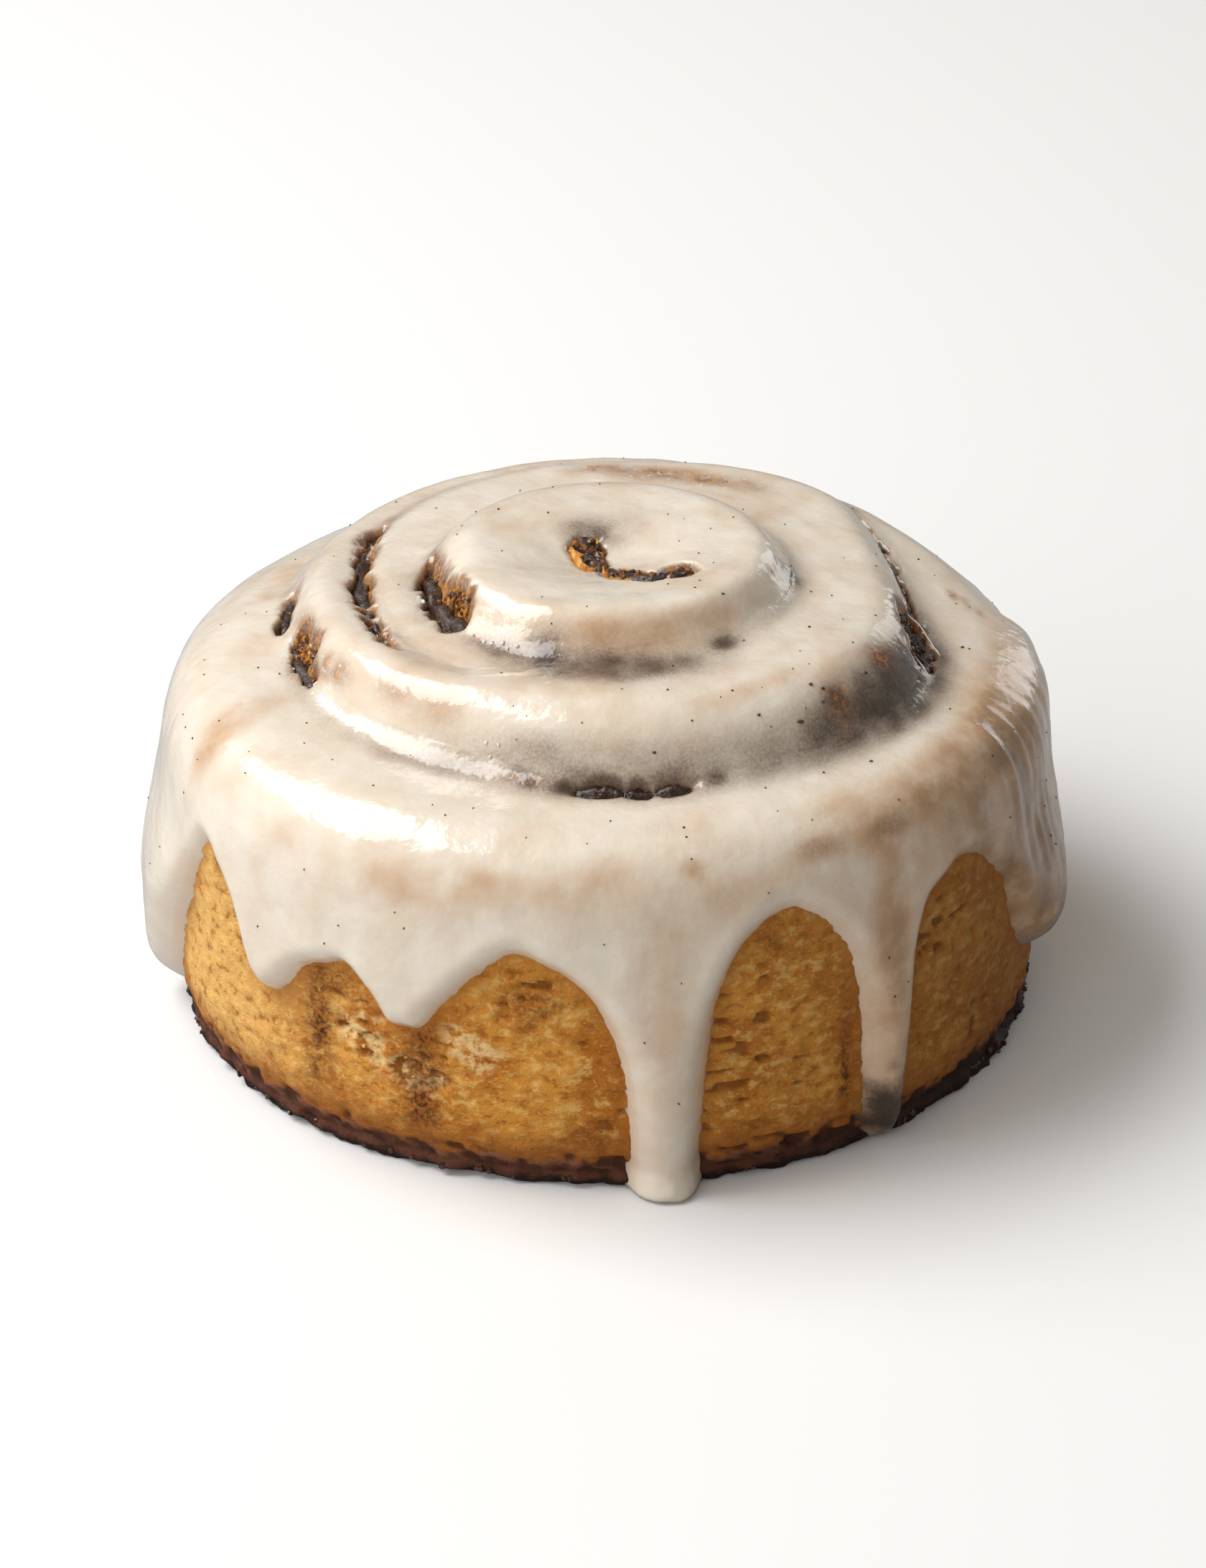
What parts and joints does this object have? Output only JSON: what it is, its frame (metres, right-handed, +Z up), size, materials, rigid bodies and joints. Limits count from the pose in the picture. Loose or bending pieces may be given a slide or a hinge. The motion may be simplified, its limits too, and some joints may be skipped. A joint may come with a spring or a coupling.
{
  "type": "iced cinnamon roll",
  "caption": "Baked coil of sweet dough with cinnamon paste between its turns and white sugar icing running down the side in drips.",
  "frame": {"origin": "middle of the flat base on the floor, under the middle of the roll", "axes": "+Z up through the coil, -Y towards the side with the long front drip, +X to the right of it"},
  "size_m": [0.1075, 0.1077, 0.0545],
  "materials": {
    "baked_dough": "matte golden crumb with a browner crust",
    "cinnamon_paste": "dark moist sugar and cinnamon paste",
    "sugar_icing": "glossy cream-white sugar icing, slightly translucent"
  },
  "bodies": {
    "root": {"dough": "baked_dough", "cinnamon_filling": "cinnamon_paste", "icing": "sugar_icing"}
  },
  "joints": []
}
